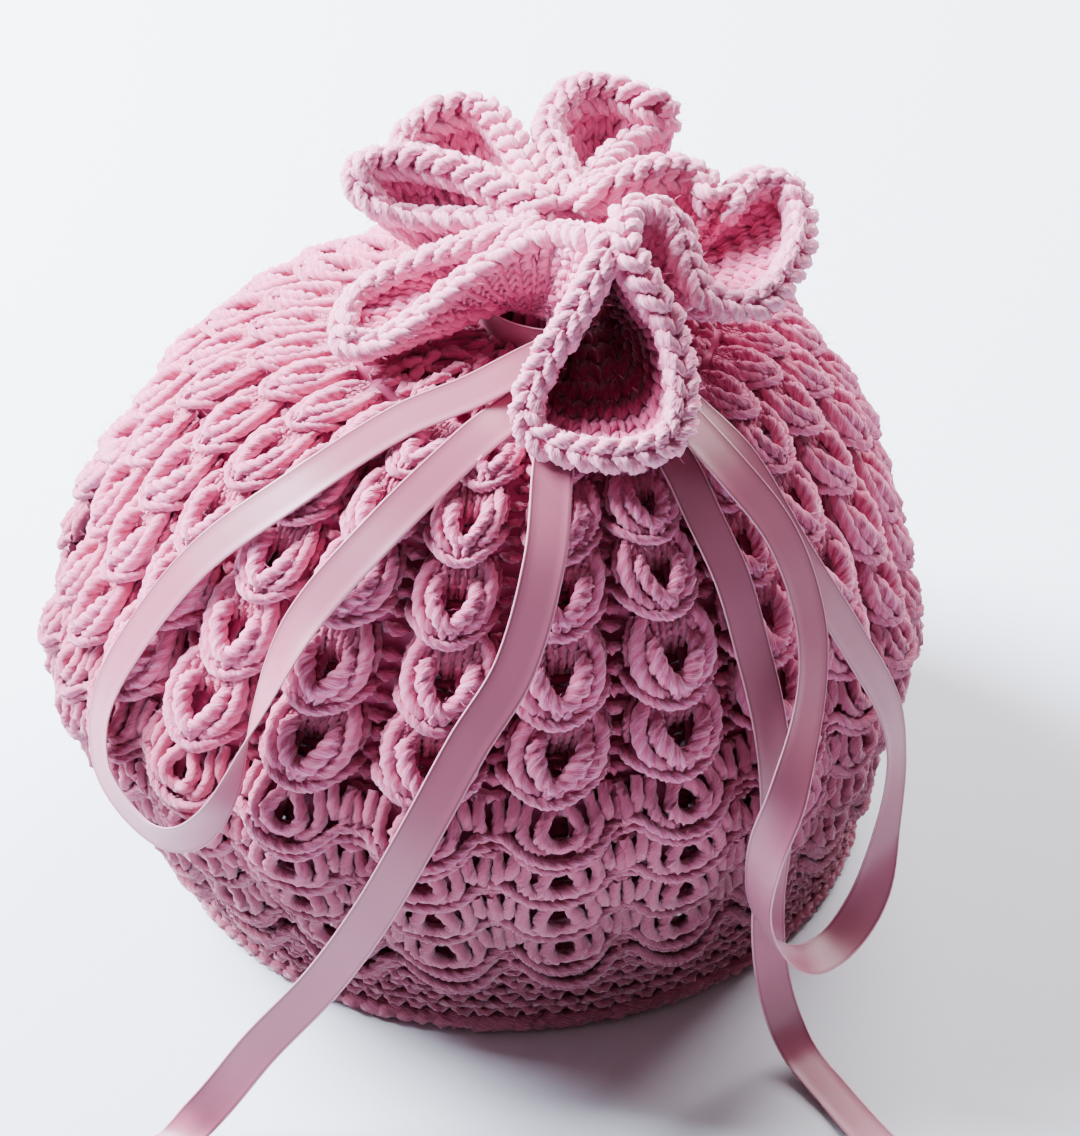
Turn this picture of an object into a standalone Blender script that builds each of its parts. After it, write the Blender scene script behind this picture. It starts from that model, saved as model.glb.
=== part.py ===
"""A knitted tea cosy: two scalloped panels gathered into petals, tied with a satin ribbon.

Sizes in the tables are millimetres. X runs from the spout side to the handle side, the front
faces -Y, and the hem stands on Z = 0 with its centre at (0, 0) until the lot is centred.
"""
import math

import bmesh
import bpy
from mathutils import Vector

MM = 0.001

# Knitted cloth.
COLUMNS = 24                 # motif columns round the cosy, half of them on each panel
MOTIF_ROWS = 9
EYELET_ROWS = 8              # the top motif row is closed up by the gathers
ROW_PITCH = 18.1             # up the cloth, from one scallop lip to the next
FIRST_LIP = 27.5             # up the cloth, from the hem edge to the lowest lip
CLOTH = 2.4                  # wall, without the raised scallops
FRILL_SHARE = 0.65           # the stretched frill is this share of the wall
FULL_COLUMN = 25.0           # a column this wide or wider has the full relief
SEAM_TURN = 0.008            # the seams lie this far round from the X axis
SEAM_GAP = 0.3               # each panel stops this far short of the seam line
HEM_COURSES = (0.0, 5.0, 13.0, 21.0)

# Ribbon.
RIBBON_WIDTH = 10.0
RIBBON_THICK = 1.0
RIBBON_STEP = 7.0
BAND_RADIUS = 18.4           # inside of the turn round the neck, where it is drawn narrow
BAND_HEIGHTS = (159.9, 167.3)
BAND_STEPS = 32
KNOT_SIZE = (14.0, 9.0, 6.8)
KNOT_CENTRE = (24.0, -24.6, 163.9)
KNOT_ROUND = 1.6

# Moves the lot so that its box stands centred on the origin.
CENTRE_SHIFT = (4.42, 18.35, 0.0)

# Cross-sections up the dome: height, reach to the left, reach to the right, half depth.
PROFILE = (
    # height, left, right, depth
    (0.0, 92.5, 97.5, 94.0),
    (5.0, 92.5, 97.5, 94.0),
    (18.0, 95.5, 97.5, 94.5),
    (42.0, 105.0, 101.0, 100.5),
    (58.0, 113.0, 105.5, 107.5),
    (76.0, 116.5, 107.5, 112.0),
    (93.0, 109.5, 102.5, 105.5),
    (109.0, 98.0, 97.0, 96.5),
    (125.0, 87.5, 89.5, 87.5),
    (140.0, 74.0, 80.5, 76.5),
    (150.0, 58.0, 71.0, 63.5),
    (155.0, 37.0, 57.0, 46.5),
    (157.0, 17.0, 45.0, 31.0),
    (158.5, -2.5, 37.5, 17.5),
    (168.0, -3.0, 37.0, 17.0),
)
CENTRE_Y_TOP = -2.0          # the neck leans this far forward

# One scallop motif: share of the pitch, relief in the valley between columns, relief on the
# crown of the column, and how far the crown hangs below its neighbours.
MOTIF = (
    # phase, valley, crown, drop
    (0.00, 1.5, 6.0, 3.0),
    (0.34, 0.0, 4.8, 0.5),
    (0.68, -1.0, 0.8, 0.0),
)
ACROSS = (0.0, 0.4, 0.6)     # stations across a column; the eyelet lies between the last two
PLEAT_COURSES = (            # above the motifs: run up the cloth, valley relief, crown relief
    (191.0, -1.5, 2.5),
    (199.0, -1.5, 2.0),
    (206.0, -1.0, 1.0),
)

# Openings in the side seams: where up the cloth they start and end, and their half width.
SPOUT_SLIT = (64.0, 122.0, 16.0)
HANDLE_SLIT = (50.0, 136.0, 12.0)
SLIT_SPREAD = 2.5            # columns over which a slit pushes the motifs together
SLIT_BOW = 0.8               # under 1 makes a slit blunter at its ends

# The frill's edge, petal by petal, going round from the left seam. Each spot is a direction in
# degrees, a reach from the neck's centre and a height. A petal starts at the fold before it.
PETALS = {
    "front": {
        "low_left": ((178, 10, 189), (183, 50, 177), (192, 61, 169), (205, 56, 165),
                     (216, 24, 183), (255, 12, 189)),
        "front": ((284, 15, 190), (273, 31, 183), (264, 41, 175), (255, 53, 168),
                  (278, 69, 160), (302, 58, 167), (310, 46, 177), (303, 34, 184)),
        "right": ((332, 21, 189), (329, 50, 176), (350, 61, 178), (374, 59, 189)),
    },
    "back": {
        "notch": ((373, 38, 189), (381, 41, 192), (390, 37, 195), (398, 25, 196)),
        "back": ((411, 10, 192), (419, 50, 190), (438, 51, 197), (453, 46, 198)),
        "back_left": ((461, 9, 190), (473, 46, 194), (481, 56, 196), (500, 57, 190)),
        "high_left": ((504, 10, 190), (509, 42, 194), (523, 59, 192), (530, 50, 184)),
    },
}
PETAL_CENTRE = (20.0, -2.0)  # middle of the neck too
PETAL_COURSES = 6
PETAL_SPLIT = 2              # grid steps on a petal for each one on the body
CUP_REACH = 0.68             # how far out a petal leaves the neck before it rises
CUP_RISE = 1.5
CUP_LIFT = 0.3               # share of its height that a petal has gained by then

# Ribbon strands, from the knot outward: a spot on the strand, and how far its face is rolled
# from facing straight out of the cosy.
STRANDS = {
    "left_loop": (
        # x, y, z, roll
        (21, -25, 166, 0), (10, -34, 165.2, 0), (-3, -44, 163.5, 0), (-20, -51, 159.5, 0),
        (-44, -63, 149, 0), (-69, -66, 130, 0), (-88, -70, 106, 0), (-96, -75, 90, 0),
        (-95, -84, 77, 0), (-83, -97, 70, 10), (-72, -105, 75, 30), (-62, -107, 89, 75),
        (-54, -99, 107, 130), (-43, -89, 127, 170), (-24, -79, 146.5, 180),
        (-2, -58, 158.6, 180), (10, -42, 159.6, 180), (21, -26, 161.8, 180),
    ),
    "right_loop": (
        (27, -24, 166, 0), (40, -37, 164.5, 0), (52, -51, 160.5, 0), (62, -58, 152.5, 0),
        (75, -65, 131, 0), (90, -66, 104, 0), (100, -66, 83, 0), (102, -70, 69, 0),
        (100, -76, 52, 15), (96, -85, 39, 50), (88, -95, 32, 75), (79, -104, 34, 75),
        (71, -110, 44, 85), (66, -113, 60, 95), (67, -114, 78, 120), (72, -109, 92, 155),
        (78, -89, 106, 180), (78, -77, 119, 180), (71, -69, 138.5, 180), (57, -61, 153.5, 180),
        (41, -43, 160, 180), (28, -27, 162.5, 180),
    ),
    "left_tail": (
        (23, -26, 162, 0), (20, -44, 160.5, 0), (17, -63, 157, 0), (15, -85, 143.5, 0),
        (8, -99, 123, 0), (-3, -108, 108, 0), (-15, -117, 88, 0), (-27, -121, 66, 0),
        (-40, -123, 45, 0), (-56, -127, 26, 0), (-69, -131.5, 10, 0), (-79, -137, 2.4, 0),
        (-88, -143, 1.3, 0), (-98, -150, 1.3, 0),
    ),
    "right_tail": (
        (26, -26, 161.6, 0), (37, -44, 158, 0), (46, -60, 154, 0), (52, -69, 145, 0),
        (59, -77, 132, 0), (64, -84, 116, 0), (68, -91, 101, 0), (70, -98, 86, 0),
        (70, -102, 70, 0), (69, -102, 50, 0), (70, -101, 32, 0), (73, -101, 15, 0),
        (78, -106, 4, 0), (86, -118, 1.4, 0), (95, -133, 1.3, 0), (106, -149, 1.3, 0),
    ),
}
FACING_CENTRE = (5.0, 0.0, 70.0)   # strands on the dome face away from this spot
TABLE_TURN = (8.0, 2.0)            # between these heights a strand turns to lie face up


def runs(spots):
    """Distance along a chain of spots, at each spot."""
    total = [0.0]
    for before, after in zip(spots, spots[1:]):
        total.append(total[-1] + (Vector(after) - Vector(before)).length)
    return total


def through(spots, knots, run, closed=False):
    """The smooth curve through the spots, read at a run along it."""
    last = len(spots) - 1
    k = max(i for i in range(last) if knots[i] <= run or i == 0)
    width = knots[k + 1] - knots[k]
    t = min(max((run - knots[k]) / width, 0.0), 1.0)

    def slope(i):
        if closed and i in (0, last):
            before, after = spots[last - 1], spots[1]
            reach = knots[last] - knots[last - 1] + knots[1]
        else:
            low, high = max(i - 1, 0), min(i + 1, last)
            before, after = spots[low], spots[high]
            reach = knots[high] - knots[low]
        return (Vector(after) - Vector(before)) * (width / reach)

    start, end = Vector(spots[k]), Vector(spots[k + 1])
    return (start * (2 * t**3 - 3 * t**2 + 1) + slope(k) * (t**3 - 2 * t**2 + t)
            + end * (3 * t**2 - 2 * t**3) + slope(k + 1) * (t**3 - t**2))


# The run up the cloth is measured on the front profile.
PROFILE_RUNS = runs([(row[3], row[0]) for row in PROFILE])
NECK_RUN = PROFILE_RUNS[-1]


def dome(turn, run):
    """Spot on the cosy's smooth form: turn goes once round from +X, run goes up the cloth."""
    height, left, right, depth = through(PROFILE, PROFILE_RUNS, run)
    angle = 2 * math.pi * turn
    lean = CENTRE_Y_TOP * (height / PROFILE[-1][0]) ** 2
    return Vector(((right - left) / 2 + (right + left) / 2 * math.cos(angle),
                   lean + depth * math.sin(angle), height))


def dome_normal(turn, run):
    aside, up_and_down = 0.002, 1.0
    along = dome(turn + aside, run) - dome(turn - aside, run)
    low, high = max(run - up_and_down, 0.0), min(run + up_and_down, NECK_RUN)
    up = dome(turn, high) - dome(turn, low)
    return along.cross(up).normalized()


def girth(run):
    _, left, right, depth = through(PROFILE, PROFILE_RUNS, run)
    return 2 * math.pi * ((left + right) / 2 + depth) / 2


def slit_push(slit, run, columns_away):
    """How far a seam opening moves a spot sideways."""
    start, end, half = slit
    if not start < run < end or columns_away >= SLIT_SPREAD:
        return 0.0
    bow = math.sin(math.pi * (run - start) / (end - start)) ** SLIT_BOW
    return half * bow * (1 - columns_away / SLIT_SPREAD) ** 2


def courses():
    """Rows of the body grid: run, valley relief, crown relief, drop, and the motif row."""
    rows = [(run, 0.0, 0.0, 0.0, None) for run in HEM_COURSES]
    for motif in range(MOTIF_ROWS):
        for number, (phase, valley, crown, drop) in enumerate(MOTIF):
            rows.append((FIRST_LIP + (motif + phase) * ROW_PITCH, valley, crown, drop,
                         motif if number == 1 else None))
    rows += [(run, valley, crown, 0.0, None) for run, valley, crown in PLEAT_COURSES]
    rows += [(PROFILE_RUNS[-2], 0.0, 0.0, 0.0, None), (NECK_RUN, 0.0, 0.0, 0.0, None)]
    return rows


def body_spot(start, column, across, course):
    """Spot of the knitted body, with its scallop relief and the openings in the seams."""
    run, valley, crown, drop, _ = course
    on_crown = across > 0
    away = column + across
    per_panel = COLUMNS // 2
    size = min(1.0, girth(run) / COLUMNS / FULL_COLUMN)
    run -= drop * size if on_crown else 0.0
    left, right = (SPOUT_SLIT, HANDLE_SLIT) if start > 0.25 else (HANDLE_SLIT, SPOUT_SLIT)
    push = slit_push(left, run, away) - slit_push(right, run, per_panel - away)
    push += SEAM_GAP if away == 0 else -SEAM_GAP if away == per_panel else 0.0
    turn = start + away / COLUMNS + push / girth(run)
    relief = (crown if on_crown else valley) * size
    return dome(turn, run) + dome_normal(turn, run) * relief


def spot_on_edge(direction, reach, height):
    angle = math.radians(direction)
    return Vector((PETAL_CENTRE[0] + reach * math.cos(angle),
                   PETAL_CENTRE[1] + reach * math.sin(angle), height))


def frill_edge():
    """The closed edge of the frill, and the run along it where each panel starts."""
    spots, starts = [], {}
    for side in ("front", "back"):
        starts[side] = len(spots)
        for petal in PETALS[side].values():
            spots += [spot_on_edge(*spot) for spot in petal]
    spots.append(spots[0])
    knots = runs(spots)
    return spots, knots, {side: knots[number] for side, number in starts.items()}


def frill_spot(edge, start_run, length, share, turn, rise):
    """Spot on a petal: rise goes from the neck, 0, to the frill's edge, 1."""
    spots, knots, _ = edge
    total = knots[-1]
    tip = through(spots, knots, (start_run + share * length) % total, closed=True)
    neck = dome(turn, NECK_RUN)
    bend = neck.lerp(tip, CUP_REACH)
    bend.z = neck.z + max(CUP_RISE, CUP_LIFT * (tip.z - neck.z))
    return neck * (1 - rise) ** 2 + bend * (2 * rise * (1 - rise)) + tip * rise**2


def body_rows(start):
    """Rows of spots from the hem to the neck, for the panel that starts at this turn."""
    per_panel = COLUMNS // 2
    stations = [(column, across) for column in range(per_panel) for across in ACROSS]
    stations.append((per_panel, 0.0))
    return [[body_spot(start, column, across, course) for column, across in stations]
            for course in courses()]


def frill_rows(side, start):
    """Rows of spots from just above the neck to the frill's edge."""
    edge = frill_edge()
    starts = edge[2]
    length = starts["back"] if side == "front" else edge[1][-1] - starts["back"]
    count = COLUMNS // 2 * len(ACROSS) * PETAL_SPLIT
    rows = []
    for course in range(1, PETAL_COURSES + 1):
        row = []
        for number in range(count + 1):
            push = SEAM_GAP if number == 0 else -SEAM_GAP if number == count else 0.0
            turn = start + number / count / 2 + push / girth(NECK_RUN)
            share = number / count + push / length
            row.append(frill_spot(edge, starts[side], length, share, turn,
                                  course / PETAL_COURSES))
        rows.append(row)
    return rows


def grid_faces(first, wide, levels, left_out=lambda level, number: False):
    """Quads between rows of spots that are numbered on from the first one."""
    return [(low, low + 1, low + wide + 1, low + wide)
            for level in range(levels) for number in range(wide - 1)
            for low in [first + level * wide + number] if not left_out(level, number)]


def new_object(name, mesh, collection, material):
    item = bpy.data.objects.new(name, mesh)
    collection.objects.link(item)
    mesh.materials.append(material)
    return item


def knitted_panel(name, side, collection, material):
    """An open grid with an eyelet left out of each motif, thickened into the cosy."""
    start = SEAM_TURN + (0.5 if side == "front" else 0.0)
    body, frill = body_rows(start), frill_rows(side, start)
    motif_of = [course[4] for course in courses()]

    def eyelet(level, number):
        motif = motif_of[level]
        return motif is not None and motif < EYELET_ROWS and number % len(ACROSS) == 1

    wide, frill_wide = len(body[0]), len(frill[0])
    neck, above = (len(body) - 1) * wide, len(body) * wide
    faces = grid_faces(0, wide, len(body) - 1, eyelet)
    for number in range(wide - 1):
        high = above + number * PETAL_SPLIT
        faces.append((neck + number, neck + number + 1)
                     + tuple(high + step for step in range(PETAL_SPLIT, -1, -1)))
    faces += grid_faces(above, frill_wide, len(frill) - 1)
    points = [spot * MM for row in body + frill for spot in row]
    mesh = bpy.data.meshes.new(name)
    mesh.from_pydata(points, [], faces)
    mesh.shade_smooth()
    panel = new_object(name, mesh, collection, material)
    full = panel.vertex_groups.new(name="full_wall")
    full.add(range(above), 1.0, "REPLACE")
    wall = panel.modifiers.new("wall", "SOLIDIFY")
    wall.thickness = CLOTH * MM
    wall.offset = -1.0
    wall.vertex_group = full.name
    wall.thickness_vertex_group = FRILL_SHARE
    return panel


def strand_frames(rows):
    """Even steps along a strand: place, direction and the way its face looks."""
    knots = runs([row[:3] for row in rows])
    count = max(2, round(knots[-1] / RIBBON_STEP))
    marks = [through(rows, knots, knots[-1] * step / count) for step in range(count + 1)]
    frames = []
    for number, mark in enumerate(marks):
        place = Vector(mark[:3])
        ahead = Vector(marks[min(number + 1, count)][:3]) - Vector(marks[max(number - 1, 0)][:3])
        ahead.normalize()
        out = place - Vector(FACING_CENTRE)
        out.z = max(out.z, 0.0)
        out.normalize()
        start, end = TABLE_TURN
        flat = min(max((start - place.z) / (start - end), 0.0), 1.0)
        out = out.lerp(Vector((0, 0, 1)), flat)
        out -= ahead * out.dot(ahead)
        out.normalize()
        roll = math.radians(mark[3])
        face = out * math.cos(roll) + ahead.cross(out) * math.sin(roll)
        frames.append((place, ahead, face))
    return frames


def ribbon_strand(name, rows):
    """A flat strip lofted along its strand."""
    points, faces = [], []
    for place, ahead, face in strand_frames(rows):
        across = ahead.cross(face) * (RIBBON_WIDTH / 2)
        thick = face * (RIBBON_THICK / 2)
        points += [place - across - thick, place - across + thick,
                   place + across + thick, place + across - thick]
    last = len(points) - 4
    for base in range(0, last, 4):
        for corner in range(4):
            turn = (corner + 1) % 4
            faces.append((base + corner, base + turn, base + 4 + turn, base + 4 + corner))
    faces += [(3, 2, 1, 0), (last, last + 1, last + 2, last + 3)]
    mesh = bpy.data.meshes.new(name)
    mesh.from_pydata([point * MM for point in points], [], faces)
    return mesh


def neck_band():
    """The turn of ribbon round the gathered neck: a ring of rectangular section."""
    shape = bmesh.new()
    low, high = BAND_HEIGHTS
    outer = BAND_RADIUS + RIBBON_THICK
    corners = [shape.verts.new(Vector((radius, 0, height)) * MM)
               for radius, height in ((BAND_RADIUS, low), (outer, low), (outer, high),
                                      (BAND_RADIUS, high))]
    edges = [shape.edges.new((corners[n], corners[(n + 1) % 4])) for n in range(4)]
    bmesh.ops.spin(shape, geom=corners + edges, axis=(0, 0, 1), cent=(0, 0, 0),
                   angle=2 * math.pi, steps=BAND_STEPS)
    bmesh.ops.remove_doubles(shape, verts=shape.verts, dist=0.00001)
    bmesh.ops.recalc_face_normals(shape, faces=shape.faces)
    bmesh.ops.translate(shape, vec=Vector((*PETAL_CENTRE, 0)) * MM, verts=shape.verts)
    mesh = bpy.data.meshes.new("neck_band")
    shape.to_mesh(mesh)
    shape.free()
    return mesh


def ribbon_knot():
    """A soft-cornered block with the wrapped knot's outer size."""
    shape = bmesh.new()
    bmesh.ops.create_cube(shape, size=MM)
    bmesh.ops.scale(shape, vec=KNOT_SIZE, verts=shape.verts)
    bmesh.ops.bevel(shape, geom=shape.edges[:], offset=KNOT_ROUND * MM, segments=2,
                    profile=0.5, affect="EDGES")
    bmesh.ops.translate(shape, vec=Vector(KNOT_CENTRE) * MM, verts=shape.verts)
    mesh = bpy.data.meshes.new("knot")
    shape.to_mesh(mesh)
    shape.free()
    return mesh


def satin_ribbon(collection, cutters, material):
    """Band, knot, loops and ends joined into the one length of ribbon."""
    ribbon = new_object("ribbon", neck_band(), collection, material)
    shapes = [ribbon_knot()] + [ribbon_strand(name, rows) for name, rows in STRANDS.items()]
    for mesh in shapes:
        shape = bpy.data.objects.new(mesh.name, mesh)
        cutters.objects.link(shape)
        shape.display_type = "WIRE"
        shape.hide_render = True
        join = ribbon.modifiers.new(mesh.name, "BOOLEAN")
        join.operation = "UNION"
        join.object = shape
    return ribbon


def plain_material(name, colour, roughness):
    material = bpy.data.materials.new(name)
    material.use_nodes = True
    shader = material.node_tree.nodes["Principled BSDF"]
    shader.inputs["Base Color"].default_value = (*colour, 1.0)
    shader.inputs["Roughness"].default_value = roughness
    shader.inputs["Metallic"].default_value = 0.0
    return material


def main():
    for item in list(bpy.data.objects):
        bpy.data.objects.remove(item)
    cosy = bpy.data.collections.new("tea_cosy")
    cutters = bpy.data.collections.new("joined_shapes")
    bpy.context.scene.collection.children.link(cosy)
    bpy.context.scene.collection.children.link(cutters)
    wool = plain_material("pink_wool", (0.62, 0.23, 0.36), 0.95)
    satin = plain_material("pink_satin", (0.58, 0.28, 0.36), 0.45)
    knitted_panel("front_panel", "front", cosy, wool)
    knitted_panel("back_panel", "back", cosy, wool)
    satin_ribbon(cosy, cutters, satin)
    for item in [*cosy.objects, *cutters.objects]:
        item.location = Vector(CENTRE_SHIFT) * MM


main()
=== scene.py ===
import math
import bpy
from mathutils import Matrix, Vector


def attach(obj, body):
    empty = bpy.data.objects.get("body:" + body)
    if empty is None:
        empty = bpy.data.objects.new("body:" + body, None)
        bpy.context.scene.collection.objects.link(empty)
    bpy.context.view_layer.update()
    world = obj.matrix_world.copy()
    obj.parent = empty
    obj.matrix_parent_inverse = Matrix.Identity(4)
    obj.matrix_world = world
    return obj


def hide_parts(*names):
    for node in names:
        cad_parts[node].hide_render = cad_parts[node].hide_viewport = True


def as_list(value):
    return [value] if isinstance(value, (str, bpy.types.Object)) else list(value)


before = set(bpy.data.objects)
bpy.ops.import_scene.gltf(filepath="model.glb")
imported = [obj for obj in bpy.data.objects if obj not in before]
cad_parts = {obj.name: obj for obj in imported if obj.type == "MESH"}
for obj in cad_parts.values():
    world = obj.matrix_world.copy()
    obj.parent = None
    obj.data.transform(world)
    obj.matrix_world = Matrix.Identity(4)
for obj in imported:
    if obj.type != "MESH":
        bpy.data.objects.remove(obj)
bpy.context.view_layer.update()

mm = 0.001

# A knitted tea cosy: two scalloped panels of thick wool, drawn into a frill of petals by a
# satin ribbon. All tables are in millimetres in the cosy's own axes: X from the left side to
# the right, the front at -Y, the hem's centre at (0, 0). The shift below puts that centre
# where the frame has it.
cosy = {
    "shift": (4.42, 18.35, 0.0),
    "lean": -2.0,            # the neck leans this far forward
    "seamTurn": 0.008,       # the side seams lie this far round from the X axis
    "sections": (
        # height, left, right, depth
        (0.0, 92.5, 97.5, 94.0), (5.0, 92.5, 97.5, 94.0), (18.0, 95.5, 97.5, 94.5),
        (42.0, 105.0, 101.0, 100.5), (58.0, 113.0, 105.5, 107.5), (76.0, 116.5, 107.5, 112.0),
        (93.0, 109.5, 102.5, 105.5), (109.0, 98.0, 97.0, 96.5), (125.0, 87.5, 89.5, 87.5),
        (140.0, 74.0, 80.5, 76.5), (150.0, 58.0, 71.0, 63.5), (155.0, 37.0, 57.0, 46.5),
        (157.0, 17.0, 45.0, 31.0), (158.5, -2.5, 37.5, 17.5), (168.0, -3.0, 37.0, 17.0),
    ),
    "leftSlit": (64.0, 122.0, 16.0),     # run where it starts and ends, half width
    "rightSlit": (50.0, 136.0, 12.0),
    "slitSpread": 2.5,       # so many columns beside a slit are pushed aside
    "slitBow": 0.8,
}

knit = {
    "columns": 24,           # motif columns round the cosy
    "rowBases": (33.0, 51.5, 68.0, 82.0, 97.0, 115.5, 135.5, 153.5, 170.5, 186.0),
    "eyeletRows": 8,         # the rows above them are closed up by the gathers
    "skirtBase": 25.0,       # a last rope below the lowest row
    "skirtPitch": 15.0,
    "frontStretch": 0.1,     # columns are this much wider in a panel's middle
    "fullColumn": 25.0,      # a column this wide has the full relief
    "leastYarn": 0.8,        # yarn keeps this share of its thickness in narrow columns
    "cloth": 1.6,            # thickness of the cloth behind the yarn
}


def srgb(code):
    # sRGB hex to linear
    parts = [int(code[i:i + 2], 16) / 255 for i in (1, 3, 5)]
    return tuple(p / 12.92 if p <= 0.04045 else ((p + 0.055) / 1.055) ** 2.4 for p in parts)


def addNode(tree, kind, inputs=None, output=0, **settings):
    # one node with its settings, values and links; kind leaves the family out of its name.
    # Gives one output, or all of them where output is None.
    families = ("GeometryNode", "ShaderNode", "FunctionNode", "Node")
    family = next(name for name in families if hasattr(bpy.types, name + kind))
    node = tree.nodes.new(family + kind)
    for name, value in settings.items():
        setattr(node, name, value)
    for key, value in (inputs or {}).items():
        if isinstance(value, bpy.types.NodeSocket):
            tree.links.new(value, node.inputs[key])
        else:
            node.inputs[key].default_value = value
    return node.outputs if output is None else node.outputs[output]


def nodeMakers(tree):
    # short ways to add to one tree: any node, maths on numbers and on vectors, and scaling
    def add(kind, inputs=None, output=0, **settings):
        return addNode(tree, kind, inputs, output, **settings)

    def maths(operation, *values):
        return add("Math", dict(enumerate(values)), operation=operation)

    def vectors(operation, *values):
        return add("VectorMath", dict(enumerate(values)), operation=operation)

    def scaled(vector, factor):
        return add("VectorMath", {0: vector, "Scale": factor}, operation="SCALE")

    return add, maths, vectors, scaled


def runsOf(spots):
    total = [0.0]
    for before, after in zip(spots, spots[1:]):
        total.append(total[-1] + (Vector(after) - Vector(before)).length)
    return total


def through(spots, knots, run, closed=False):
    # smooth curve through the spots, read at a run along it
    last = len(spots) - 1
    k = max(i for i in range(last) if knots[i] <= run or i == 0)
    width = knots[k + 1] - knots[k]
    t = min(max((run - knots[k]) / width, 0.0), 1.0)

    def slope(i):
        if closed and i in (0, last):
            before, after = spots[last - 1], spots[1]
            reach = knots[last] - knots[last - 1] + knots[1]
        else:
            low, high = max(i - 1, 0), min(i + 1, last)
            before, after = spots[low], spots[high]
            reach = knots[high] - knots[low]
        return (Vector(after) - Vector(before)) * (width / reach)

    start, end = Vector(spots[k]), Vector(spots[k + 1])
    return (start * (2 * t**3 - 3 * t**2 + 1) + slope(k) * (t**3 - 2 * t**2 + t)
            + end * (3 * t**2 - 2 * t**3) + slope(k + 1) * (t**3 - t**2))


sectionRuns = runsOf([(row[3], row[0]) for row in cosy["sections"]])
neckRun = sectionRuns[-1]
perPanel = knit["columns"] // 2


def toWorld(spot):
    return (Vector(spot) + Vector(cosy["shift"])) * mm


def dome(turn, run):
    # smooth form of the cosy: turn goes once round from +X, run goes up the cloth
    height, left, right, depth = through(cosy["sections"], sectionRuns, run)
    angle = 2 * math.pi * turn
    lean = cosy["lean"] * (height / cosy["sections"][-1][0]) ** 2
    return Vector(((right - left) / 2 + (right + left) / 2 * math.cos(angle),
                   lean + depth * math.sin(angle), height))


def domeOut(turn, run):
    aside, upDown = 0.002, 1.0
    along = dome(turn + aside, run) - dome(turn - aside, run)
    up = dome(turn, min(run + upDown, neckRun)) - dome(turn, max(run - upDown, 0.0))
    return along.cross(up).normalized()


def girth(run):
    _, left, right, depth = through(cosy["sections"], sectionRuns, run)
    return 2 * math.pi * ((left + right) / 2 + depth) / 2


def reliefShare(run):
    # narrow columns near the neck have flatter, smaller motifs
    return min(1.0, girth(run) / knit["columns"] / knit["fullColumn"])


def slitPush(slit, run, columnsAway):
    start, end, half = slit
    spread = cosy["slitSpread"]
    if not start < run < end or columnsAway >= spread:
        return 0.0
    bow = math.sin(math.pi * (run - start) / (end - start)) ** cosy["slitBow"]
    return half * bow * (1 - columnsAway / spread) ** 2


def turnAt(side, away, run):
    # away counts motif columns from the panel's first seam
    stretch = knit["frontStretch"] * perPanel / (2 * math.pi)
    start = cosy["seamTurn"] + (0.5 if side == "front" else 0.0)
    slits = (cosy["leftSlit"], cosy["rightSlit"])
    first, last = slits if side == "front" else slits[::-1]
    push = slitPush(first, run, away) - slitPush(last, run, perPanel - away)
    spread = away - stretch * math.sin(2 * math.pi * away / perPanel)
    return start + spread / knit["columns"] + push / girth(run)


def bodySpot(side, away, run, relief):
    turn = turnAt(side, away, run)
    return dome(turn, run) + domeOut(turn, run) * relief


# The frill's edge, petal by petal, going round from the left seam. Each spot is a direction
# in degrees, a reach from the neck's centre and a height.
petals = {
    "front": {
        "lowLeft": ((188, 8, 188), (182, 25, 182), (182, 36, 178), (183, 46, 174),
                    (186, 54, 170), (194, 59, 167), (203, 60, 165), (208, 54, 166),
                    (209, 46, 169), (208, 36, 174), (210, 26, 180), (222, 16, 186),
                    (258, 12, 190), (280, 21, 194)),
        "front": ((288, 29, 196), (280, 35, 192), (272, 40, 186), (265, 46, 179),
                  (260, 51, 172), (259, 57, 166), (262, 61, 162), (269, 64, 160),
                  (277, 67, 160), (285, 68, 160), (291, 68, 162), (296, 64, 166),
                  (299, 59, 171), (301, 53, 177), (302, 47, 183), (300, 42, 189),
                  (298, 36, 194), (301, 28, 197)),
        "right": ((320, 21, 197), (333, 25, 196), (331, 30, 192), (323, 35, 187),
                  (320, 41, 182), (324, 46, 178), (330, 51, 176), (338, 55, 177),
                  (348, 57, 179), (359, 59, 182), (370, 60, 185), (377, 58, 188),
                  (379, 52, 190), (377, 45, 190)),
    },
    "back": {
        "notch": ((367, 38, 190), (378, 37, 192), (385, 34, 194), (389, 27, 196),
                  (389, 19, 196), (388, 8, 194)),
        "back": ((412, 7, 191), (428, 23, 190), (427, 34, 190), (424, 44, 190),
                 (420, 51, 191), (421, 54, 194), (427, 52, 197), (436, 53, 198),
                 (444, 52, 199), (451, 48, 199), (456, 42, 197), (461, 36, 195),
                 (460, 26, 193), (456, 14, 191), (450, 7, 190)),
        "backLeft": ((472, 9, 190), (473, 20, 191), (473, 32, 193), (474, 44, 195),
                     (478, 53, 196), (485, 56, 196), (492, 58, 194), (499, 58, 191),
                     (500, 51, 188), (497, 38, 187), (494, 20, 188), (492, 8, 189)),
        "highLeft": ((510, 9, 190), (506, 23, 192), (507, 33, 193), (510, 43, 194),
                     (514, 51, 194), (520, 57, 193), (525, 57, 190), (529, 50, 186),
                     (528, 40, 183), (527, 25, 184), (530, 13, 186)),
    },
    "centre": (20.0, -2.0),
    "leave": 0.33,           # petals leave the neck flat as far as this, then dip into a cup
    "leaveRise": 3.0,
    "cup": 0.82,
    "cupDrop": 0.6,
    "leastDrop": 6.0,
    "beyond": 0.12,          # the guide goes on past the edge, for the chain that sits on it
    # the front petal's inside takes a darker painted shade across this share
    "hollowSpan": (0.36, 0.74),      # share of the front panel's edge round the front petal
}


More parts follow.
